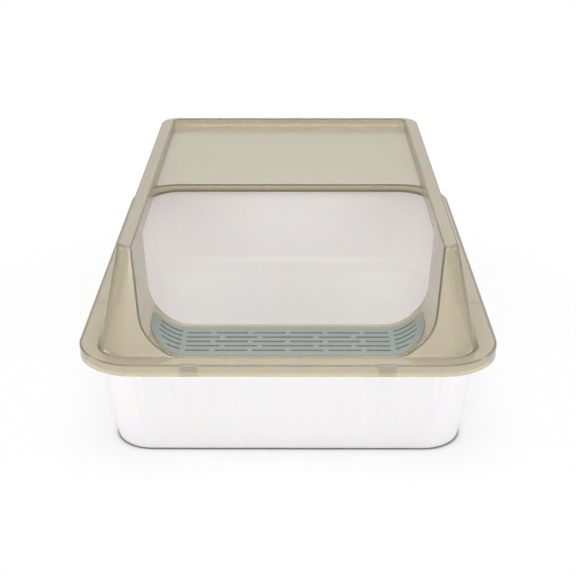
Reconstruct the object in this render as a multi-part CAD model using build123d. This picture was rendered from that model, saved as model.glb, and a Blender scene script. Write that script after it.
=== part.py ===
from build123d import *
import math
import os

# A litter tray: an open pan, a hood that drops over its rim, and a step mat in the hood's entry.
# Millimetres, +Z up, entry facing -Y. The origin is at the middle of the footprint, on the floor.

# Overall sizes
WIDTH = 400.0                  # across the hood's flange
LENGTH = 510.0                 # along the hood's flange
FLANGE_TOP = 108.0             # floor to the flange's top face
HOOD_RISE = 103.0              # flange's top face to the top of the rails
FLANGE_RADIUS = 57.0           # plan corners of the flange

# Hood: flange and skirt
HOOD_WALL = 2.4
SKIRT_DEPTH = 12.0             # flange's top face to the skirt's lower edge
FLANGE_EDGE_ROUND = 1.6        # rounding along the flange's outer top edge
FOOT_ROUND = 3.0               # hollow where the walls meet the flange

# Hood: walls, as margins in from the flange's edge
SIDE_MARGIN_FOOT = 20.0
SIDE_MARGIN_TOP = 43.6
REAR_MARGIN_FOOT = 20.0
REAR_MARGIN_TOP = 43.6
FRONT_MARGIN_FOOT = 17.0
FRONT_MARGIN_TOP = 34.5
FRONT_RADIUS_FOOT = 29.0       # plan radius of the front columns at their feet
FRONT_RADIUS_TOP = 11.5        # and where they meet the rails
REAR_RADIUS_FOOT = 41.5
RAIL_ROUND = 4.5               # rounding along the rails' outer top edge

# Hood: entry channel, a U open at the top
ENTRY_STEP = 0.8               # channel floor above the flange's top face
ENTRY_FLAT = 95.0              # half of the channel's flat floor
ENTRY_RADIUS = 42.0            # from the floor up into the sides
ENTRY_LEAN = 4.5               # degrees, the sides open outwards
ENTRY_LENGTH = 71.5            # foot of the front wall to the inner rim
RIM_LEAN = 8.8                 # degrees, the inner rim leans back
RIM_RADIUS = 40.0              # sweep of the inner rim into the rails

# Hood: roof, set down between the rails
ROOF_DROP = 9.0                # rails' top to the roof's top face
ROOF_FRONT = 237.0             # flange's front edge to the roof's front edge
ROOF_BEND = 118.0              # from the middle to where that edge bends back towards the rails
ROOF_CORNER = 38.8             # plan radius of the bend
ROOF_LIP = 2.2                 # thickness of the lip round the top opening
ROOF_LIP_DEPTH = 1.0           # how far it stands down below the roof
REAR_RAIL = 5.6                # rear rail, across its top
WELL_CORNER = 9.0              # plan corners of the roof's well
WELL_ROUND = 2.0               # rounding where the roof meets the rails

# Step mat and its seat in the channel
MAT_HALF = 129.8               # half of the mat's length across the entry, in plan
MAT_FRONT_GAP = 1.0            # foot of the front wall to the mat
MAT_DEPTH = 60.4               # front to rear
MAT_THICKNESS = 2.6
MAT_FRONT_RADIUS = 33.0
MAT_REAR_RADIUS = 7.0
MAT_RECESS = 2.5               # seat below the channel's surface
MAT_SIDE_GAP = 0.5             # round the mat's edge
MAT_SEAT_GAP = 0.3             # under the mat
SEAT_WALL = 1.6                # thickness round and under the seat

# Grooves in the mat
GROOVE_ROWS = 5
GROOVE_ROW_PITCH = 9.3
GROOVES_FORWARD = 1.4          # middle of the rows in front of the mat's middle
GROOVE_WIDTH = 3.0
GROOVE_NIP = 1.0               # cut off each corner of a groove
GROOVE_DEPTH = 1.5
GROOVE_PITCH = 35.8            # along a row
GROOVE_STAGGER = 0.75          # share of the pitch by which every other row is moved
GROOVE_BREAK = 4.4             # between two grooves of a row
GROOVE_TURN = 99.5             # break where the mat starts to climb, from the middle
GROOVE_END_MARGIN = 6.5        # last groove to the mat's end
GROOVE_FAN = 12.0              # degrees, the last grooves run back as they climb
GROOVE_FAN_STEP = 2.0          # and start this far behind their row
POCKET_LENGTH = 3.6            # wider head at the start of each last groove
POCKET_WIDTH = 5.0

# Tray
TRAY_WALL = 2.4
TRAY_FLOOR = 2.6
TRAY_MARGIN_TOP = 14.0         # in from the flange's edge, at the rim
TRAY_MARGIN_FOOT = 30.5
TRAY_RADIUS_FOOT = 38.0
TRAY_FOOT_ROUND = 2.5
TRAY_INNER_ROUND = 20.0        # floor into walls, inside
RIM_GAP = 1.0                  # between the tray's rim and the hood's skirt
SEAT_GAP = 0.2                 # between the tray's rim and the flange over it
RIM_THICKNESS = 2.4
RIM_DROP = 7.0                 # the rim's turned-down edge
RIM_EDGE = 2.0                 # thickness of that edge

# Shallow flutes round the tray
FLUTE_PITCH = 17.45
FLUTE_RADIUS = 24.0
FLUTE_DEPTH = 0.9              # at the top, fading to nothing at the foot
FLUTE_FOOT = 26.0              # floor to the flutes' lower ends
FLUTE_PROUD = 0.4              # the cutting tool stands this far out of the wall

# Locating tabs of the hood, in notches of the tray's rim
TAB_OFFSET = 91.5              # from the middle
TAB_WIDTH = 17.5
TAB_THICKNESS = 2.2
TAB_DROP = 0.6                 # below the skirt's edge
TAB_TAPER = 1.2                # narrower at the foot, each side
TAB_GAP = 0.6
RIB_FROM_FRONT = 140.0         # a locating rib under each side ledge
RIB_THICKNESS = 1.6
RIB_DEPTH = 2.0

# Values that follow
HALF_WIDTH = WIDTH / 2
FRONT = -LENGTH / 2
REAR = LENGTH / 2
TOP = FLANGE_TOP + HOOD_RISE
REAR_RADIUS_TOP = REAR_RADIUS_FOOT + SIDE_MARGIN_FOOT - SIDE_MARGIN_TOP
TRAY_RADIUS_TOP = TRAY_RADIUS_FOOT + TRAY_MARGIN_FOOT - TRAY_MARGIN_TOP
FLANGE_UNDER = FLANGE_TOP - HOOD_WALL
RIM_TOP = FLANGE_UNDER - SEAT_GAP
SKIRT_FOOT = FLANGE_TOP - SKIRT_DEPTH
ENTRY_FLOOR = FLANGE_TOP + ENTRY_STEP
ENTRY_FRONT = FRONT + FRONT_MARGIN_FOOT
ROOF_TOP = TOP - ROOF_DROP
ROOF_UNDER = ROOF_TOP - HOOD_WALL
LIP_UNDER = ROOF_UNDER - ROOF_LIP_DEPTH
WELL_REAR = REAR - REAR_MARGIN_TOP - REAR_RAIL
MAT_FRONT = ENTRY_FRONT + MAT_FRONT_GAP
MAT_REAR = MAT_FRONT + MAT_DEPTH
BEYOND = 20.0                  # how far cutting tools run past what they cut
OVERCUT = 5.0                  # the same, where there is little room
TOUCH = 0.001                  # places closer than this are the same


def near(one, other):
    return abs(one - other) < TOUCH


def plan_edges(z, half_width, front, rear, front_radius, rear_radius):
    """A level rounded outline, with the same order of edges at every height."""
    right = half_width - front_radius
    right_rear = half_width - rear_radius
    first = front + front_radius
    last = rear - rear_radius
    edges = [
        Line((-right, front), (right, front)),
        CenterArc((right, first), front_radius, -90, 90),
        Line((half_width, first), (half_width, last)),
        CenterArc((right_rear, last), rear_radius, 0, 90),
        Line((right_rear, rear), (-right_rear, rear)),
        CenterArc((-right_rear, last), rear_radius, 90, 90),
        Line((-half_width, last), (-half_width, first)),
        CenterArc((-right, first), front_radius, 180, 90),
    ]
    return [edge.edge().moved(Location((0, 0, z))) for edge in edges]


def plan_block(low, high, half_width, front, rear, front_radius, rear_radius):
    """An upright block on a rounded outline."""
    base = Wire(plan_edges(low, half_width, front, rear, front_radius, rear_radius))
    return Solid.extrude(Face(base), Vector(0, 0, high - low))


def leaning_block(low_edges, high_edges):
    """A block between two rounded outlines, with flat walls and drawn corners."""
    faces = [Face(Wire(low_edges)), Face(Wire(high_edges))]
    for low, high in zip(low_edges, high_edges):
        if low.geom_type == GeomType.LINE:
            faces.append(Face(Wire.make_polygon([low @ 0, low @ 1, high @ 1, high @ 0])))
        elif is_coaxial(low, high):
            slant = Edge.make_line(low @ 0, high @ 0)
            faces.append(Face.revolve(slant, 90, Axis(low.arc_center, (0, 0, 1))))
        else:
            faces.append(Face.make_surface_from_curves(low, high))
    return Solid(Shell(faces))


def is_coaxial(low, high):
    offset = high.arc_center - low.arc_center
    return near(offset.X, 0) and near(offset.Y, 0)


def between(start, end, share):
    return start + (end - start) * share


def flange_block(low, high, inset):
    """The flange's outline, drawn in by inset."""
    radius = FLANGE_RADIUS - inset
    return plan_block(low, high, HALF_WIDTH - inset, FRONT + inset, REAR - inset, radius, radius)


def hood_edges(z, inset):
    """The hood's walls at one height, drawn in by inset."""
    share = (z - FLANGE_TOP) / HOOD_RISE
    side = between(SIDE_MARGIN_FOOT, SIDE_MARGIN_TOP, share) + inset
    front = between(FRONT_MARGIN_FOOT, FRONT_MARGIN_TOP, share) + inset
    rear = between(REAR_MARGIN_FOOT, REAR_MARGIN_TOP, share) + inset
    front_radius = between(FRONT_RADIUS_FOOT, FRONT_RADIUS_TOP, share) - inset
    rear_radius = between(REAR_RADIUS_FOOT, REAR_RADIUS_TOP, share) - inset
    return plan_edges(z, HALF_WIDTH - side, FRONT + front, REAR - rear, front_radius, rear_radius)


def hood_block(low, high, inset):
    return leaning_block(hood_edges(low, inset), hood_edges(high, inset))


def tray_edges(z, inset):
    """The tray's walls at one height, drawn in by inset."""
    share = z / RIM_TOP
    margin = between(TRAY_MARGIN_FOOT, TRAY_MARGIN_TOP, share) + inset
    radius = between(TRAY_RADIUS_FOOT, TRAY_RADIUS_TOP, share) - inset
    return plan_edges(z, HALF_WIDTH - margin, FRONT + margin, REAR - margin, radius, radius)


def tray_block(low, high, inset):
    return leaning_block(tray_edges(low, inset), tray_edges(high, inset))


def entry_face(grow, roof):
    """The channel's U in the plane of X and Z, grown outwards, closed at the height roof."""
    lean = math.radians(ENTRY_LEAN)
    radius = ENTRY_RADIUS + grow
    centre = ENTRY_FLOOR + ENTRY_RADIUS
    side_x = ENTRY_FLAT + radius * math.cos(lean)
    side_z = centre - radius * math.sin(lean)
    roof_x = side_x + (roof - side_z) * math.tan(lean)
    sweep = 90 - ENTRY_LEAN
    with BuildSketch(Plane.XZ) as sketch:
        with BuildLine():
            Line((-ENTRY_FLAT, centre - radius), (ENTRY_FLAT, centre - radius))
            CenterArc((ENTRY_FLAT, centre), radius, -90, sweep)
            Line((side_x, side_z), (roof_x, roof))
            Line((roof_x, roof), (-roof_x, roof))
            Line((-roof_x, roof), (-side_x, side_z))
            CenterArc((-ENTRY_FLAT, centre), radius, 180 + ENTRY_LEAN, sweep)
        make_face()
    return sketch.sketch.faces()[0]


def entry_block(grow, roof, front, rear):
    """The channel's U run from front to rear."""
    face = entry_face(grow, roof).moved(Location((0, front, 0)))
    return Solid.extrude(face, Vector(0, rear - front, 0))


def rim_side_block():
    """What lies in front of the channel's inner rim, seen from the side, across the whole width."""
    rim_foot = ENTRY_FRONT + ENTRY_LENGTH
    low = FLANGE_TOP - BEYOND
    lean = math.tan(math.radians(RIM_LEAN))
    foot = (rim_foot - (ENTRY_FLOOR - low) * lean, low)
    corner = (rim_foot + (LIP_UNDER - ENTRY_FLOOR) * lean, LIP_UNDER)
    back = FRONT + ROOF_FRONT + ROOF_LIP + BEYOND
    first = FRONT - BEYOND
    with BuildSketch(Plane.YZ) as sketch:
        with BuildLine():
            Polyline((first, low), foot, corner, (back, LIP_UNDER), (back, TOP), (first, TOP), close=True)
        make_face()
        bend = sketch.vertices().sort_by_distance((0, *corner))[0]
        fillet(bend, RIM_RADIUS)
    return extrude(sketch.sketch, WIDTH / 2, both=True).solid()


def well_block(grow):
    """The roof's well between the rails, grown outwards and downwards."""
    rear = WELL_REAR + grow
    front = ENTRY_FRONT + ENTRY_LENGTH
    block = entry_block(grow, TOP + BEYOND, front, rear)
    trim = Box(WIDTH, LENGTH, TOP + BEYOND, align=(Align.CENTER, Align.CENTER, Align.MIN))
    block = (block & trim.moved(Location((0, 0, ROOF_TOP - grow)))).solid()
    upright = [edge for edge in block.edges().filter_by(GeomType.LINE)
               if near(edge.center().Y, rear) and edge.length > ROOF_DROP
               and edge.bounding_box().size.X < ROOF_DROP + BEYOND]
    block = fillet(upright, WELL_CORNER + grow)
    floor = block.faces().sort_by(Axis.Z)[0]
    edges = [edge for edge in floor.edges() if not near(edge.center().Y, front)]
    return fillet(edges, WELL_ROUND + grow).solid()


def bend_block(low, high, grow):
    """What lies in front of the roof's bent front edge, grown outwards."""
    radius = ROOF_CORNER + grow
    first = FRONT - BEYOND - radius
    return plan_block(low, high, ROOF_BEND + radius, first, FRONT + ROOF_FRONT + grow, radius, radius)


def opening_block():
    """The free way in: the channel, and up through the roof's front opening."""
    high = TOP + BEYOND
    block = entry_block(0, high, FRONT - BEYOND, FRONT + ROOF_FRONT + BEYOND)
    return (block & bend_block(FLANGE_TOP - BEYOND, high, 0)).solid()


def roof_lip():
    """A lip all round the top opening, along the rails and under the roof's front edge."""
    block = entry_block(ROOF_LIP, TOP, ENTRY_FRONT + ENTRY_LENGTH, FRONT + ROOF_FRONT + BEYOND)
    return (block & bend_block(LIP_UNDER, ROOF_TOP, ROOF_LIP)).solid()


def mat_plan(low, high, grow):
    """The mat's outline in plan, grown outwards."""
    return plan_block(low, high, MAT_HALF + grow, MAT_FRONT - grow, MAT_REAR + grow,
                      MAT_FRONT_RADIUS + grow, MAT_REAR_RADIUS + grow)


def curve_x(distance):
    """Place across the entry of a point that lies this far along the mat from its middle."""
    past = max(0.0, distance - ENTRY_FLAT)
    return min(distance, ENTRY_FLAT) + ENTRY_RADIUS * math.sin(past / ENTRY_RADIUS)


def mat_half_at(y):
    """Half of the mat's length in plan at one distance from the front."""
    into = MAT_FRONT_RADIUS - (y - MAT_FRONT)
    if into <= 0:
        return MAT_HALF
    return MAT_HALF - MAT_FRONT_RADIUS + math.sqrt(MAT_FRONT_RADIUS ** 2 - into ** 2)


def groove_breaks(row):
    """Breaks of one row to the right of the middle, measured along the mat."""
    first = GROOVE_PITCH * GROOVE_STAGGER if row % 2 else 0.0
    steps = round((GROOVE_TURN - first) / GROOVE_PITCH)
    return [first + step * GROOVE_PITCH for step in range(steps)] + [GROOVE_TURN]


def groove_bars():
    """Upright bars, one for each groove of the mat."""
    middle = (MAT_FRONT + MAT_REAR) / 2 - GROOVES_FORWARD
    half_break = GROOVE_BREAK / 2
    bars = []
    for row in range(GROOVE_ROWS):
        y = middle + (row - (GROOVE_ROWS - 1) / 2) * GROOVE_ROW_PITCH
        breaks = groove_breaks(row)
        for start, end in zip(breaks, breaks[1:]):
            bars += groove_pair((curve_x(start + half_break), y), (curve_x(end - half_break), y), GROOVE_WIDTH)
        if row % 2:
            inner = breaks[0] - half_break
            bars.append(groove_bar((-inner, y), (inner, y), GROOVE_WIDTH))
        start_x = curve_x(GROOVE_TURN + half_break)
        start_y = y + GROOVE_FAN_STEP
        end_x = mat_half_at(y) - GROOVE_END_MARGIN
        end_y = start_y + (end_x - start_x) * math.tan(math.radians(GROOVE_FAN))
        bars += groove_pair((start_x, start_y), (end_x, end_y), GROOVE_WIDTH)
        bars += groove_pair((start_x, start_y), (start_x + POCKET_LENGTH, start_y), POCKET_WIDTH)
    return bars


def groove_pair(start, end, width):
    """The same bar on the right and on the left."""
    mirrored = groove_bar((-end[0], end[1]), (-start[0], start[1]), width)
    return [groove_bar(start, end, width), mirrored]


def groove_bar(start, end, width):
    """An upright bar with nipped corners, from one point in plan to another."""
    turn = math.degrees(math.atan2(end[1] - start[1], end[0] - start[0]))
    with BuildSketch() as sketch:
        Rectangle(math.dist(start, end), width)
        chamfer(sketch.vertices(), GROOVE_NIP)
    middle = ((start[0] + end[0]) / 2, (start[1] + end[1]) / 2, ENTRY_FLOOR - MAT_RECESS)
    face = sketch.sketch.faces()[0].moved(Location(middle, (0, 0, turn)))
    return Solid.extrude(face, Vector(0, 0, HOOD_RISE))


def make_mat():
    """A thin step mat that follows the channel's U, with staggered grooves."""
    under = MAT_RECESS - MAT_SEAT_GAP
    roof = TOP
    sheet = entry_block(under, roof, MAT_FRONT - BEYOND, MAT_REAR + BEYOND)
    sheet -= entry_block(under - MAT_THICKNESS, roof + BEYOND, MAT_FRONT - BEYOND * 2, MAT_REAR + BEYOND * 2)
    mat = sheet & mat_plan(FLANGE_TOP - BEYOND, roof, 0)
    reach = entry_block(under - MAT_THICKNESS + GROOVE_DEPTH, roof, MAT_FRONT, MAT_REAR)
    grooves = [bar & reach for bar in groove_bars()]
    return (mat - grooves).solid()


def tab_places():
    """Middle of each locating tab on the skirt, with the direction towards the tray."""
    return [(side * TAB_OFFSET, end, inward)
            for side in (-1, 1) for end, inward in ((FRONT, 1), (REAR, -1))]


def tabs():
    """The hood's four locating tabs, tapered towards their feet."""
    pads = []
    low = SKIRT_FOOT - TAB_DROP
    half = TAB_WIDTH / 2
    foot = half - TAB_TAPER
    for x, end, inward in tab_places():
        with BuildSketch(Plane.XZ) as sketch:
            with BuildLine():
                Polyline((x - foot, low), (x + foot, low), (x + half, FLANGE_UNDER),
                         (x - half, FLANGE_UNDER), close=True)
            make_face()
        face = sketch.sketch.faces()[0].moved(Location((0, end + inward * HOOD_WALL / 2, 0)))
        pads.append(Solid.extrude(face, Vector(0, inward * (HOOD_WALL / 2 + TAB_THICKNESS), 0)))
    return pads


def tab_notches():
    """Upright notches in the tray's rim, one for each tab."""
    depth = HOOD_WALL + TAB_THICKNESS + TAB_GAP
    low = RIM_TOP - RIM_DROP
    notch = Box(TAB_WIDTH + 2 * TAB_GAP, depth, RIM_DROP + BEYOND,
                align=(Align.CENTER, Align.CENTER, Align.MIN))
    return [notch.moved(Location((x, end + inward * depth / 2, low)))
            for x, end, inward in tab_places()]


def rib_blocks(grow):
    """A short rib under each side ledge, or with grow the notch for it in the tray's rim."""
    inner = HALF_WIDTH - TRAY_MARGIN_TOP - TRAY_WALL - grow
    outer = HALF_WIDTH - HOOD_WALL / 2
    depth = RIB_DEPTH + grow
    thick = RIB_THICKNESS + 2 * grow
    rib = Box(outer - inner, thick, depth, align=(Align.MIN, Align.CENTER, Align.MAX))
    right = rib.moved(Location((inner, FRONT + RIB_FROM_FRONT, FLANGE_UNDER)))
    return [right, right.mirror(Plane.YZ)]


def make_hood():
    """Flange with skirt, leaning walls, entry channel, rails and roof, in one moulding."""
    body = flange_block(FLANGE_UNDER, FLANGE_TOP, 0) + hood_block(FLANGE_UNDER, TOP, 0)
    foot_line = [edge for edge in body.edges()
                 if near(edge.center().Z, FLANGE_TOP) and near(edge.bounding_box().size.Z, 0)
                 and inside_flange(edge)]
    body = fillet(foot_line, FOOT_ROUND)
    crown = body.faces().sort_by(Axis.Z)[-1].edges()
    body = fillet(crown, RAIL_ROUND)
    body += flange_block(SKIRT_FOOT, FLANGE_TOP, 0) - flange_block(SKIRT_FOOT, FLANGE_UNDER, HOOD_WALL)
    outer = [edge for edge in body.edges()
             if near(edge.center().Z, FLANGE_TOP) and not inside_flange(edge)]
    body = fillet(outer, FLANGE_EDGE_ROUND)
    inside_tray = TRAY_MARGIN_TOP + TRAY_WALL + RIM_GAP
    allowed = hood_block(FLANGE_TOP, TOP, 0) + flange_block(SKIRT_FOOT, FLANGE_TOP, inside_tray)
    body -= hood_block(FLANGE_UNDER - OVERCUT, TOP - HOOD_WALL, HOOD_WALL)

    channel = entry_block(HOOD_WALL, TOP, FRONT, FRONT + ROOF_FRONT)
    channel -= entry_block(0, TOP + BEYOND, FRONT - BEYOND, FRONT + ROOF_FRONT + BEYOND)
    seat = entry_block(MAT_RECESS + SEAT_WALL, TOP, FRONT, FRONT + ROOF_FRONT)
    seat &= mat_plan(FLANGE_TOP - BEYOND, TOP, MAT_SIDE_GAP + SEAT_WALL)
    channel = ((channel & rim_side_block()) + seat) & allowed

    well = (well_block(HOOD_WALL) - well_block(0)) & allowed
    hood = body + channel + well + roof_lip()
    hood -= opening_block()
    hood -= well_block(0)
    hood -= entry_block(MAT_RECESS, TOP, FRONT, REAR) & mat_plan(FLANGE_TOP - BEYOND, TOP, MAT_SIDE_GAP)
    for piece in tabs() + rib_blocks(0):
        hood += piece
    return hood.solid()


def inside_flange(edge):
    """True for an edge that lies well within the flange's outline."""
    box = edge.bounding_box()
    reach = max(abs(box.min.X), abs(box.max.X)) + HOOD_WALL
    return reach < HALF_WIDTH and box.min.Y - HOOD_WALL > FRONT and box.max.Y + HOOD_WALL < REAR


def make_tray():
    """An open pan with leaning, fluted walls and a turned-down rim."""
    pan = tray_block(0, RIM_TOP, 0)
    foot = pan.faces().sort_by(Axis.Z)[0].edges()
    pan = fillet(foot, TRAY_FOOT_ROUND)
    pan -= flutes()
    inset = HOOD_WALL + RIM_GAP
    rim_foot = RIM_TOP - RIM_DROP
    rim = flange_block(rim_foot, RIM_TOP, inset)
    rim -= flange_block(rim_foot, RIM_TOP - RIM_THICKNESS, inset + RIM_EDGE)
    rim -= tray_block(rim_foot, RIM_TOP, TRAY_WALL / 2)
    tray = (pan.solid() + rim).solid()
    hollow = tray_block(TRAY_FLOOR, RIM_TOP + OVERCUT, TRAY_WALL)
    floor = hollow.faces().sort_by(Axis.Z)[0].edges()
    tray = (tray - fillet(floor, TRAY_INNER_ROUND)).solid()
    tray -= tab_notches()
    return (tray.solid() - rib_blocks(TAB_GAP)).solid()


def flute_count(length):
    return max(1, round(length / FLUTE_PITCH))


def flute_shares(length):
    """Middles of the flutes along a length, from -1 at its start to 1 at its end."""
    count = flute_count(length)
    return [(index + 0.5) / count * 2 - 1 for index in range(count)]


def flute_places():
    """Foot and rim point of each flute's wall line, with the outward direction."""
    centre_x = HALF_WIDTH - TRAY_MARGIN_FOOT - TRAY_RADIUS_FOOT
    centre_y = REAR - TRAY_MARGIN_FOOT - TRAY_RADIUS_FOOT
    places = []
    for side in (-1, 1):
        for share in flute_shares(2 * centre_y):
            places.append(wall_line(side * centre_x, share * centre_y, Vector(side, 0)))
        for share in flute_shares(2 * centre_x):
            places.append(wall_line(share * centre_x, side * centre_y, Vector(0, side)))
    quarter = math.pi / 4 * (TRAY_RADIUS_FOOT + TRAY_RADIUS_TOP)
    for corner_x in (-1, 1):
        for corner_y in (-1, 1):
            for share in flute_shares(quarter):
                turn = math.radians(45 + 45 * share)
                out = Vector(corner_x * math.cos(turn), corner_y * math.sin(turn))
                places.append(wall_line(corner_x * centre_x, corner_y * centre_y, out))
    return places


def wall_line(x, y, out):
    """The tray's wall from its foot to its rim, straight out from one place in plan."""
    low = Vector(x, y, 0) + out * TRAY_RADIUS_FOOT
    high = Vector(x, y, RIM_TOP) + out * TRAY_RADIUS_TOP
    return low, high, out


def flutes():
    """One shallow tool for each flute, tilted so that the flute fades out towards the foot."""
    tools = []
    chord = FLUTE_DEPTH + FLUTE_PROUD
    half = math.sqrt(FLUTE_RADIUS ** 2 - (FLUTE_RADIUS - chord) ** 2)
    for low, high, out in flute_places():
        tip = low + (high - low) * (FLUTE_FOOT / RIM_TOP)
        rise = high - out * FLUTE_DEPTH - tip
        start = tip - rise * (FLUTE_FOOT / RIM_TOP)
        plane = Plane(origin=start, x_dir=out.cross(Vector(0, 0, 1)), z_dir=rise)
        with BuildSketch(plane) as sketch:
            with BuildLine():
                ThreePointArc((-half, chord), (0, 0), (half, chord))
                Line((half, chord), (-half, chord))
            make_face()
        run = rise * (1 + 2 * FLUTE_FOOT / RIM_TOP)
        tools.append(Solid.extrude(sketch.sketch.faces()[0], run))
    return tools


def main():
    os.makedirs("parts", exist_ok=True)
    pieces = {"tray": make_tray(), "hood": make_hood(), "step_mat": make_mat()}
    for name, piece in pieces.items():
        piece.label = name
        export_step(piece, "parts/" + name + ".step")


main()
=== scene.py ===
# %% [markdown]
# # A litter tray with a translucent hood
#
# The tray is three mouldings. A white pan stands on the floor. A champagne-coloured hood drops over its rim: you
# can see light through it, but no clear picture. A soft grey-green mat lies in the hood's low entry.
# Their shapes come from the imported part, which this scene never moves or changes. What is left to make here is the
# finish of each moulding, the room's light, the floor and the camera.

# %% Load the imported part
import math

import bpy
from mathutils import Euler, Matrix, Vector


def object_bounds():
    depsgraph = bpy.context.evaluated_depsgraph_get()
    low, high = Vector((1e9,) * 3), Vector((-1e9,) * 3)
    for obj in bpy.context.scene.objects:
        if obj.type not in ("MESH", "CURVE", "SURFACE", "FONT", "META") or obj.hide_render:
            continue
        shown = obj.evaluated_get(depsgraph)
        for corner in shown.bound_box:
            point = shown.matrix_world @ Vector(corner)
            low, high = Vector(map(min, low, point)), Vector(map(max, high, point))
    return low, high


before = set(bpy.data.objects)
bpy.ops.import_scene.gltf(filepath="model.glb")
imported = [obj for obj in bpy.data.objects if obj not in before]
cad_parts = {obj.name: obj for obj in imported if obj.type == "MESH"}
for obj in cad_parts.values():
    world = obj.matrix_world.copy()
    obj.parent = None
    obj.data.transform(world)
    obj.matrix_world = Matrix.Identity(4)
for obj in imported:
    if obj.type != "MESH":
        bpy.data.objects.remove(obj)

cad_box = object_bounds()
print("nodes:", sorted(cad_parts))
print("the part's box, in metres:", [tuple(round(v, 3) for v in corner) for corner in cad_box])

# %% [markdown]
# ## Helpers for shader nodes
#
# A finish is a graph of shader nodes. It could be drawn by hand in the shader editor, but a graph that is written in
# code can be read, changed and made again from nothing. A few helpers keep that code short. They add a node and feed
# its input sockets, each with a plain value or with another node's output.

# %% Add nodes and feed their sockets
def feed(tree, socket, value):
    """Joins another node's output to a socket, or sets a plain value on it."""
    if isinstance(value, bpy.types.NodeSocket):
        tree.links.new(value, socket)
    else:
        socket.default_value = value


def feed_named(tree, node, values):
    """Feeds a node's sockets by their names, where an underscore stands for a space."""
    for name, value in values.items():
        feed(tree, node.inputs[name.replace("_", " ")], value)


def add_node(tree, kind, name, **values):
    node = tree.nodes.new(kind)
    node.name = name
    node.label = name
    feed_named(tree, node, values)
    return node


print("nodes can be added and fed")

# %% Work out a value
def calculate(tree, operation, name, *values):
    """What a Math node puts out."""
    node = add_node(tree, "ShaderNodeMath", name)
    node.operation = operation
    for socket, value in zip(node.inputs, values):
        feed(tree, socket, value)
    return node.outputs["Value"]


def ramp(tree, name, value, start, end, low=0.0, high=1.0, curve="LINEAR"):
    """Goes from low to high while the value goes from start to end, and stays there beyond them."""
    node = add_node(tree, "ShaderNodeMapRange", name, Value=value, From_Min=start, From_Max=end, To_Min=low,
                    To_Max=high)
    node.interpolation_type = curve
    return node.outputs["Result"]


print("values can be calculated and ramped")

# %% Mix values, colours and shaders
MIX_COLOUR_INPUTS = (0, 6, 7)  # a Mix node's share and its two colours, whose names other sockets have too
MIX_COLOUR_OUTPUT = 2


def mix_values(tree, name, share, first, second):
    node = add_node(tree, "ShaderNodeMix", name, Factor=share, A=first, B=second)
    node.data_type = "FLOAT"
    return node.outputs["Result"]


def mix_colours(tree, name, share, first, second):
    node = add_node(tree, "ShaderNodeMix", name)
    node.data_type = "RGBA"
    for number, value in zip(MIX_COLOUR_INPUTS, (share, first, second)):
        feed(tree, node.inputs[number], value)
    return node.outputs[MIX_COLOUR_OUTPUT]


def mix_shaders(tree, name, share, first, second):
    """Mixes two shader nodes. Where the share is one, only the second is left."""
    node = add_node(tree, "ShaderNodeMixShader", name)
    for socket, value in zip(node.inputs, (share, first.outputs[0], second.outputs[0])):
        feed(tree, socket, value)
    return node.outputs["Shader"]


print("values, colours and shaders can be mixed")

# %% Start a material, and read a colour
WHITE = (1, 1, 1, 1)


def new_material(name):
    """An empty material, its node tree and its output node."""
    material = bpy.data.materials.new(name)
    material.use_nodes = True
    tree = material.node_tree
    tree.nodes.clear()
    return material, tree, tree.nodes.new("ShaderNodeOutputMaterial")


def hex_colour(code):
    """Linear colour of a picture colour written as six hex digits."""
    parts = [int(code[i:i + 2], 16) / 255 for i in (0, 2, 4)]
    linear = [p / 12.92 if p <= 0.04045 else ((p + 0.055) / 1.055) ** 2.4 for p in parts]
    return (*linear, 1.0)


print("mid grey is", round(hex_colour("808080")[0], 3), "in linear light")

# %% [markdown]
# ## Shared effects
#
# An effect that is needed more than once could be copied into each material, and would then have to be corrected in
# each. A node group is built once, has named sockets, and is placed wherever it is needed with its own values.

# %% Start and place a node group
def new_group(name, inputs, outputs):
    """An empty node group with number sockets, and its first and last node."""
    group = bpy.data.node_groups.new(name, "ShaderNodeTree")
    for socket_name, value in inputs.items():
        socket = group.interface.new_socket(socket_name, in_out="INPUT", socket_type="NodeSocketFloat")
        socket.default_value = value
    for socket_name in outputs:
        group.interface.new_socket(socket_name, in_out="OUTPUT", socket_type="NodeSocketFloat")
    return group, group.nodes.new("NodeGroupInput"), group.nodes.new("NodeGroupOutput")


def place_group(tree, group, **values):
    node = add_node(tree, "ShaderNodeGroup", group.name)
    node.node_tree = group
    feed_named(tree, node, values)
    return node


print("groups can be built and placed")

# %% [markdown]
# ## The skin of a moulding
#
# Injection-moulded plastic is never perfectly even. It has a very fine grain from the tool, and broad, faint ripples
# where the melt shrank as it cooled. Both are too small to model as faces, and a picture of them would repeat. Noise
# in the surface's height and gloss gives them at any size. All three mouldings need it, at different strengths, so
# it is a group.

# %% Build the moulded skin group
SKIN_INPUTS = {"Grains per metre": 900.0, "Grain": 0.5, "Ripple": 0.5, "Gloss base": 0.3, "Gloss swing": 0.05}
RIPPLES_PER_METRE = 14.0


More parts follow.
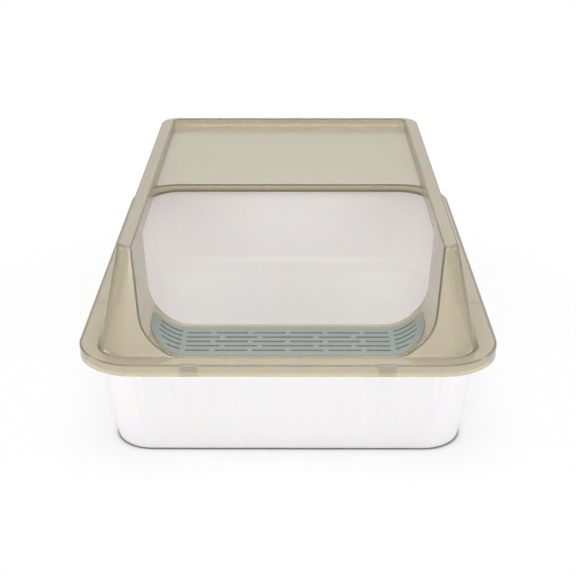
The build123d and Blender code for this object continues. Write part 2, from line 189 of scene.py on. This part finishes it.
def moulded_skin_group():
    """Height and roughness of a moulded surface."""
    group, inputs, outputs = new_group("moulded skin", SKIN_INPUTS, ("Height", "Roughness"))
    given = inputs.outputs
    place = group.nodes.new("ShaderNodeTexCoord").outputs["Object"]
    grain = add_node(group, "ShaderNodeTexNoise", "fine grain", Vector=place, Scale=given["Grains per metre"],
                     Detail=2.0, Roughness=0.6).outputs["Fac"]
    ripple = add_node(group, "ShaderNodeTexNoise", "shrink ripples", Vector=place, Scale=RIPPLES_PER_METRE,
                      Detail=1.0).outputs["Fac"]
    grain_depth = calculate(group, "MULTIPLY", "grain depth", grain, given["Grain"])
    ripple_depth = calculate(group, "MULTIPLY", "ripple depth", ripple, given["Ripple"])
    gloss_change = calculate(group, "MULTIPLY", "gloss change", ripple, given["Gloss swing"])
    feed(group, outputs.inputs["Height"], calculate(group, "ADD", "height", grain_depth, ripple_depth))
    feed(group, outputs.inputs["Roughness"], calculate(group, "ADD", "gloss", gloss_change, given["Gloss base"]))
    return group


moulded_skin = moulded_skin_group()
print("group:", moulded_skin.name, [item.name for item in moulded_skin.interface.items_tree])

# %% Put the skin on a shader
def place_skin(tree, shader, relief, **values):
    """Raises the shader's surface by the skin, relief metres deep, and hands back the skin's roughness."""
    skin = place_group(tree, moulded_skin, **values)
    bump = add_node(tree, "ShaderNodeBump", "skin relief", Strength=1.0, Distance=relief,
                    Height=skin.outputs["Height"])
    feed(tree, shader.inputs["Normal"], bump.outputs["Normal"])
    return skin.outputs["Roughness"]


print("the skin can be placed")

# %% [markdown]
# ## White pan
#
# The pan is polypropylene, filled white. A plain painted white would look like chalk, and a fully translucent one
# like wax. Light goes a few millimetres into the real plastic, which softens its shadows, so it gets a glossy
# surface with a small share of subsurface scattering.

# %% White plastic
PLASTIC_IOR = 1.49
PAN_WHITE = hex_colour("f7f5f6")
PAN_SOFT_SHARE = 0.12          # share of the light that goes into the plastic and comes out nearby
PAN_SOFT_REACH = 0.004         # and how far it goes, in metres


def white_plastic():
    material, tree, output = new_material("white moulded plastic")
    shader = add_node(tree, "ShaderNodeBsdfPrincipled", "plastic", Base_Color=PAN_WHITE, IOR=PLASTIC_IOR,
                      Subsurface_Weight=PAN_SOFT_SHARE, Subsurface_Scale=PAN_SOFT_REACH)
    gloss = place_skin(tree, shader, relief=0.00004, Grains_per_metre=1400.0, Grain=0.25, Ripple=1.0,
                       Gloss_base=0.26, Gloss_swing=0.08)
    feed(tree, shader.inputs["Roughness"], gloss)
    feed(tree, output.inputs["Surface"], shader.outputs["BSDF"])
    return material


pan_finish = white_plastic()
print("finish:", pan_finish.name)

# %% [markdown]
# ## Level faces
#
# In the photograph the hood's roof and the tops of its rails show no sharp reflection, as where a tool is grained,
# while its upright walls are glossy. Two material slots could do that, but the hood is one moulding with one finish,
# and its mesh stays as it is. So a mask does it: it is one on faces that look up and lie between two heights, and
# zero elsewhere.

# %% Build the level faces group
LOOKS_UP_FROM = 0.9            # the upright part of a face's normal, about 26 degrees off level
LOOKS_UP_FULLY = 0.98          # about 11 degrees off level


def level_faces_group():
    """One on faces that look up and lie between two heights, zero on all others."""
    group, inputs, outputs = new_group("level faces", {"Lowest": 0.0, "Highest": 1.0}, ("Mask",))
    place = group.nodes.new("ShaderNodeTexCoord")
    facing = add_node(group, "ShaderNodeSeparateXYZ", "facing", Vector=place.outputs["Normal"])
    spot = add_node(group, "ShaderNodeSeparateXYZ", "spot", Vector=place.outputs["Object"])
    above = calculate(group, "GREATER_THAN", "above the lowest", spot.outputs["Z"], inputs.outputs["Lowest"])
    below = calculate(group, "LESS_THAN", "below the highest", spot.outputs["Z"], inputs.outputs["Highest"])
    between = calculate(group, "MULTIPLY", "between the heights", above, below)
    level = ramp(group, "looks up", facing.outputs["Z"], LOOKS_UP_FROM, LOOKS_UP_FULLY)
    feed(group, outputs.inputs["Mask"], calculate(group, "MULTIPLY", "level and between", level, between))
    return group


level_faces = level_faces_group()
print("group:", level_faces.name, [item.name for item in level_faces.interface.items_tree])

# %% [markdown]
# ## Translucent hood
#
# The hood's plastic lets light through and scatters some of it on the way, so what stands behind it shows as a soft
# tint. Fully clear plastic came out too dark on the roof, and opaque plastic would hide the pan. So the shader is
# mostly transmission, with a share of plain scattered colour.
# The colour could be painted on the surface, but then an edge would look like the middle of a wall. Here it is
# absorbed inside the plastic, so that edges and folds, where light travels further, come out darker.
# Light that goes on to the pan would have to find its way through two bent surfaces, which gives a dark and noisy
# pan. For rays that only light something, the wall is nearly clear instead.

# %% Matt on top, and a painted sheen on the roof
TOP_HEIGHT = 0.19              # the matt grain lies on level faces above this height, in metres
RAIL_HEIGHT = 0.211            # top of the rails, the highest faces of the hood
OVER_RAILS = RAIL_HEIGHT + 0.01
UNDER_RAILS = RAIL_HEIGHT - 0.004
TOP_ROUGHNESS = 0.25
HOOD_COLOUR = hex_colour("f4ebd2")
# The roof's paler colour is a painted sheen, for the light that falls on it from above. Its matt grain is real.
ROOF_SHEEN_COLOUR = hex_colour("fffae6")


def matt_on_top(tree, gloss):
    """The skin's own roughness, and a matt one on the roof and the rails."""
    top = place_group(tree, level_faces, Lowest=TOP_HEIGHT, Highest=OVER_RAILS)
    return mix_values(tree, "matt on top, gloss elsewhere", top.outputs["Mask"], gloss, TOP_ROUGHNESS)


# Paints the roof paler where it is matt: a painted sheen.
def painted_roof_sheen(tree):
    roof = place_group(tree, level_faces, Lowest=TOP_HEIGHT, Highest=UNDER_RAILS)
    return mix_colours(tree, "painted sheen where the roof is matt", roof.outputs["Mask"], HOOD_COLOUR, ROOF_SHEEN_COLOUR)


print("matt from", TOP_HEIGHT, "m up, and paler up to", round(UNDER_RAILS, 3), "m")

# %% Light through the wall
LIGHT_THROUGH_HOOD = 0.93      # share of the light that a wall lets through to what stands behind it


def light_through(tree, shader):
    """The hood's shader, nearly clear for rays that only light something."""
    rays = tree.nodes.new("ShaderNodeLightPath").outputs
    lighting = calculate(tree, "MAXIMUM", "rays that only light", rays["Is Shadow Ray"], rays["Is Diffuse Ray"])
    passed = calculate(tree, "MULTIPLY", "share let through", lighting, LIGHT_THROUGH_HOOD)
    clear = add_node(tree, "ShaderNodeBsdfTransparent", "light through the wall", Color=WHITE)
    return mix_shaders(tree, "plastic or clear", passed, shader, clear)


print("share of light let through:", LIGHT_THROUGH_HOOD)

# %% Champagne plastic
HOOD_CLEAR_SHARE = 0.82        # the rest is scattered colour
HOOD_TINT = (0.6, 0.58, 0.525, 1)
HOOD_DENSITY = 250.0           # a metre, so one wall takes up little and an edge takes up much


def champagne_plastic():
    material, tree, output = new_material("translucent champagne plastic")
    shader = add_node(tree, "ShaderNodeBsdfPrincipled", "plastic", IOR=PLASTIC_IOR,
                      Transmission_Weight=HOOD_CLEAR_SHARE, Coat_Weight=0.1, Coat_Roughness=0.05,
                      Base_Color=painted_roof_sheen(tree))
    gloss = place_skin(tree, shader, relief=0.00003, Grains_per_metre=1400.0, Grain=0.15, Ripple=1.0,
                       Gloss_base=0.15, Gloss_swing=0.04)
    feed(tree, shader.inputs["Roughness"], matt_on_top(tree, gloss))
    feed(tree, output.inputs["Surface"], light_through(tree, shader))
    depth = add_node(tree, "ShaderNodeVolumeAbsorption", "colour by thickness", Color=HOOD_TINT,
                     Density=HOOD_DENSITY)
    feed(tree, output.inputs["Volume"], depth.outputs["Volume"])
    return material


hood_finish = champagne_plastic()
print("finish:", hood_finish.name)

# %% [markdown]
# ## Step mat
#
# The mat is a soft rubber, matt, with a slight tooth that an animal's paws can grip. Its grooves are real cuts in
# the part and shade themselves, so the colour can stay even. The tooth could be a rough surface alone, but then it
# would look like paper. A deeper, coarser grain than on the hard plastics makes it read as rubber.

# %% Mat rubber
RUBBER_IOR = 1.5
RUBBER_GREY = hex_colour("9aa29c")


def mat_rubber():
    material, tree, output = new_material("grey-green rubber")
    shader = add_node(tree, "ShaderNodeBsdfPrincipled", "rubber", Base_Color=RUBBER_GREY, IOR=RUBBER_IOR)
    gloss = place_skin(tree, shader, relief=0.00012, Grains_per_metre=1100.0, Grain=1.0, Ripple=0.4,
                       Gloss_base=0.5, Gloss_swing=0.1)
    feed(tree, shader.inputs["Roughness"], gloss)
    feed(tree, output.inputs["Surface"], shader.outputs["BSDF"])
    return material


mat_finish = mat_rubber()
print("finish:", mat_finish.name)

# %% [markdown]
# ## The finishes on their mouldings
#
# Each moulding is one piece of one plastic, so its whole mesh takes one material, in its first slot. New objects with
# copies of the meshes could carry them too, but they would only stand in the way of the part's own pieces.

# %% Give each moulding its finish
finishes = {"tray": pan_finish, "hood": hood_finish, "step_mat": mat_finish}
for node, material in finishes.items():
    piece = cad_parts[node]
    piece.data.materials.clear()
    piece.data.materials.append(material)
    print(node, "has", len(piece.data.polygons), "faces and the finish", material.name)

# %% [markdown]
# ## Rays that look
#
# The ground and the backdrop have to be seen as pure white. Lamps bright enough for that would burn out the white
# pan. A ray tracer can tell its rays apart instead. Rays that look, from the camera, off a gloss or through clear
# plastic, meet a white ground. Rays that only light something meet plain paint and a gentle room.

# %% Tell rays that look from rays that light
def looking_rays(tree):
    """One where a ray looks: from the camera, off a gloss or through a clear piece. Zero where it only lights."""
    rays = tree.nodes.new("ShaderNodeLightPath").outputs
    looking = rays["Is Camera Ray"]
    for kind in ("Is Glossy Ray", "Is Transmission Ray"):
        looking = calculate(tree, "MAXIMUM", "or " + kind.lower(), looking, rays[kind])
    return looking


print("rays that look can be told apart")

# %% [markdown]
# ## Dark sides
#
# Beside a glossy object on white, a photographer stands a black card on the left and one on the right. The object's
# sides mirror them and keep their edge against the white. Cards could be modelled here too, but they would show in
# other views and shade the floor. So the white ground is dimmer to the far sides where a gloss sees it, and the
# room's light is weaker from there.

# %% Dim the far sides
SIDE_STRENGTH = 0.25           # strength at the far left and right, where the cards would stand


def dark_to_the_sides(tree, sideways, start, end):
    """One in the middle, falling to the strength of the sides between two distances from it."""
    aside = calculate(tree, "ABSOLUTE", "how far to the side", sideways)
    return ramp(tree, "darker to the sides", aside, start, end, 1.0, SIDE_STRENGTH)


def only_in_gloss(tree, dim):
    """The dim strength where a gloss looks, and one for all other rays."""
    rays = tree.nodes.new("ShaderNodeLightPath").outputs
    return mix_values(tree, "dim in reflections only", rays["Is Glossy Ray"], 1.0, dim)


print("strength at the far sides:", SIDE_STRENGTH)

# %% [markdown]
# ## Floor
#
# The object stands on a white sheet that shows only its soft shadow. A floor of pure glow would lose the shadow, and
# one of plain paint would come out grey. So it is a mix: mostly glow, and further out all glow. Close to the pan's
# foot the glow stops, so that the shadow keeps its depth. At the foot's outline the paint is darkened in a thin line,
# a painted contact shadow for the shade in the narrow gap where the pan meets the floor.

# %% Distance from the pan's foot
FOOT_CORNER = (0.1315, 0.1865) # centre of the rounded corner of the pan's foot, in metres
FOOT_RADIUS = 0.038            # and that corner's radius


def from_corners(tree, place):
    """Distance from the rectangle through the four corners' centres. The foot's outline is one radius away."""
    steps = (("ABSOLUTE", ()), ("MULTIPLY", (1, 1, 0)), ("SUBTRACT", (*FOOT_CORNER, 0)), ("MAXIMUM", (0, 0, 0)))
    for operation, value in steps:
        node = add_node(tree, "ShaderNodeVectorMath", "past the corners, " + operation.lower(), Vector=place)
        node.operation = operation
        if value:
            node.inputs[1].default_value = value
        place = node.outputs["Vector"]
    length = add_node(tree, "ShaderNodeVectorMath", "distance from the corners", Vector=place)
    length.operation = "LENGTH"
    return length.outputs["Value"]


def rise_from_foot(tree, distance, reach, low, high):
    """Goes from low at the foot's outline to high at reach metres outside it."""
    return ramp(tree, "from the foot outwards", distance, FOOT_RADIUS, FOOT_RADIUS + reach, low, high)


print("the foot is", [round(2 * (centre + FOOT_RADIUS), 3) for centre in FOOT_CORNER], "m wide and deep")

# %% Share of glow in the floor
FLOOR_GLOW = 0.65              # share of glow round the part
SHADOW_REACH = 0.22            # from the part's middle, the glow starts to take over here
WHITE_FROM = 0.5               # and is all that is seen from here on
FOOT_SHADE = 0.008             # the glow fades out over this width round the foot


def glow_share(tree, place, distance):
    """How much of the floor is glow: more further out, none at the foot, and only for rays that look."""
    away = add_node(tree, "ShaderNodeVectorMath", "distance from the part", Vector=place)
    away.operation = "LENGTH"
    fade = ramp(tree, "glow by distance", away.outputs["Value"], SHADOW_REACH, WHITE_FROM, FLOOR_GLOW, 1.0,
                "SMOOTHSTEP")
    seen = calculate(tree, "MULTIPLY", "glow for rays that look", looking_rays(tree), fade)
    clear = rise_from_foot(tree, distance, FOOT_SHADE, 0.0, 1.0)
    return calculate(tree, "MULTIPLY", "glow clear of the foot", seen, clear)


print("share of glow near the part:", FLOOR_GLOW)

# %% White sweep
FLOOR_WHITE = 0.9
# The paint's grey along the foot's outline is a painted contact shadow.
PAINTED_CONTACT_SHADE = 0.3             # the dark line where the pan meets the floor
CONTACT = 0.003                # and its width
FLOOR_DIM = (0.25, 0.7)        # the ground gets dimmer in reflections between these distances to the side


def white_sweep():
    material, tree, output = new_material("white sweep")
    place = tree.nodes.new("ShaderNodeTexCoord").outputs["Object"]
    sideways = add_node(tree, "ShaderNodeSeparateXYZ", "place on the floor", Vector=place).outputs["X"]
    dim = dark_to_the_sides(tree, sideways, *FLOOR_DIM)
    glow = add_node(tree, "ShaderNodeEmission", "white glow", Color=WHITE, Strength=only_in_gloss(tree, dim))
    distance = from_corners(tree, place)
    # The paint is darkened along the foot's outline: a painted contact shadow.
    grey = rise_from_foot(tree, distance, CONTACT, PAINTED_CONTACT_SHADE, FLOOR_WHITE)
    paint = add_node(tree, "ShaderNodeBsdfDiffuse", "white paint", Color=grey)
    mix = mix_shaders(tree, "paint or glow", glow_share(tree, place, distance), paint, glow)
    feed(tree, output.inputs["Surface"], mix)
    return material


floor_finish = white_sweep()
print("finish:", floor_finish.name)

# %% White floor
FLOOR_HALF = 3.0               # half of its width, in metres


def white_floor():
    mesh = bpy.data.meshes.new("floor")
    corners = [(x * FLOOR_HALF, y * FLOOR_HALF, 0) for x, y in ((-1, -1), (1, -1), (1, 1), (-1, 1))]
    mesh.from_pydata(corners, [], [(0, 1, 2, 3)])
    mesh.materials.append(floor_finish)
    floor = bpy.data.objects.new("floor", mesh)
    bpy.context.scene.collection.objects.link(floor)
    return floor


print("floor:", white_floor().name)

# %% [markdown]
# ## Light
#
# The shadows in the photograph are soft and close to the pan. Sun or spot lamps would make them hard. This is a
# light tent: an even white room, a broad panel overhead, a wide one in front and one on each side. A small, low
# panel in front on the left gives the hood's left column its brighter face. The powers are low enough for the white
# pan to keep its shading.

# %% Room light
ROOM_STRENGTH = 0.55
ROOM_DIM = (0.15, 0.6)         # the room gets darker between these sideways parts of a direction


def room_light():
    world = bpy.data.worlds.new("white room")
    bpy.context.scene.world = world
    world.use_nodes = True
    tree = world.node_tree
    tree.nodes.clear()
    output = tree.nodes.new("ShaderNodeOutputWorld")
    direction = tree.nodes.new("ShaderNodeTexCoord").outputs["Generated"]
    sideways = add_node(tree, "ShaderNodeSeparateXYZ", "direction", Vector=direction).outputs["X"]
    dim = dark_to_the_sides(tree, sideways, *ROOM_DIM)
    lit = calculate(tree, "MULTIPLY", "room light", dim, ROOM_STRENGTH)
    room = add_node(tree, "ShaderNodeBackground", "room", Color=WHITE, Strength=lit)
    backdrop = add_node(tree, "ShaderNodeBackground", "backdrop", Color=WHITE, Strength=only_in_gloss(tree, dim))
    mix = mix_shaders(tree, "room or backdrop", looking_rays(tree), room, backdrop)
    feed(tree, output.inputs["Surface"], mix)
    return world


print("room:", room_light().name)

# %% Panels
PART_MIDDLE = (0, 0, 0.1)
LEFT_COLUMN = (-0.15, -0.2, 0.16)
PANELS = {                     # place and aim, width and height in metres, and power in watts
    "overhead panel": ((0, -0.1, 2.2), PART_MIDDLE, 2.4, 2.4, 31),
    "front panel": ((0, -2.6, 1.0), PART_MIDDLE, 2.0, 0.8, 20),
    "low left panel": ((-0.55, -2.6, 0.22), LEFT_COLUMN, 0.3, 0.4, 1.6),
    "left panel": ((-2.3, -0.2, 0.9), PART_MIDDLE, 1.0, 0.8, 17),
    "right panel": ((2.3, -0.2, 0.9), PART_MIDDLE, 1.0, 0.8, 17),
}


def panel_light(name, place, aim, width, height, power):
    light = bpy.data.lights.new(name, "AREA")
    light.shape = "RECTANGLE"
    light.size = width
    light.size_y = height
    light.energy = power
    lamp = bpy.data.objects.new(name, light)
    bpy.context.scene.collection.objects.link(lamp)
    lamp.location = place
    lamp.rotation_euler = (Vector(aim) - Vector(place)).to_track_quat("-Z", "Y").to_euler()
    return lamp


lamps = [panel_light(name, *values) for name, values in PANELS.items()]
print("lamps, in watts:", {lamp.name: round(lamp.data.energy, 1) for lamp in lamps})

# %% [markdown]
# ## Camera
#
# The camera stands in front of the entry, higher than the hood, and looks down on the part. Its place and its lens
# could be found by eye. They were fitted to the photograph's outlines instead, to the flange, the rails and the
# floor line, so that the render lies over the photograph.

# %% Camera
PHOTO_SIZE = 576.0             # the photograph is a square of this many pixels
FOCAL_PIXELS = 1180.0
SENSOR = 36.0                  # width of the camera's sensor, in millimetres
PITCH = 23.88                  # degrees down
ROLL = -0.09                   # degrees
YAW = 0.33                     # degrees to the left of straight back
CAMERA_DISTANCE = 0.961        # in front of the flange's front edge, in metres
CAMERA_HEIGHT = 0.611          # above the floor
CAMERA_ASIDE = 0.006           # to the right of the centre line


def photo_camera():
    front = cad_box[0][1]
    data = bpy.data.cameras.new("photo camera")
    data.sensor_width = SENSOR
    data.lens = FOCAL_PIXELS / PHOTO_SIZE * SENSOR
    camera = bpy.data.objects.new("photo camera", data)
    bpy.context.scene.collection.objects.link(camera)
    camera.location = (CAMERA_ASIDE, front - CAMERA_DISTANCE, CAMERA_HEIGHT)
    tilt = Euler((math.radians(90 - PITCH), 0, math.radians(YAW))).to_matrix()
    spin = Euler((0, 0, math.radians(ROLL))).to_matrix()
    camera.rotation_euler = (tilt @ spin).to_euler()
    bpy.context.scene.camera = camera
    return camera


camera = photo_camera()
print("camera at", [round(v, 3) for v in camera.location], "with a lens of", round(camera.data.lens, 1), "mm")

# %% [markdown]
# ## Colours as they are
#
# The plain view shows each colour about as it is written, where a film-like one would grey the whites.

bpy.context.scene.view_settings.view_transform = "Standard"
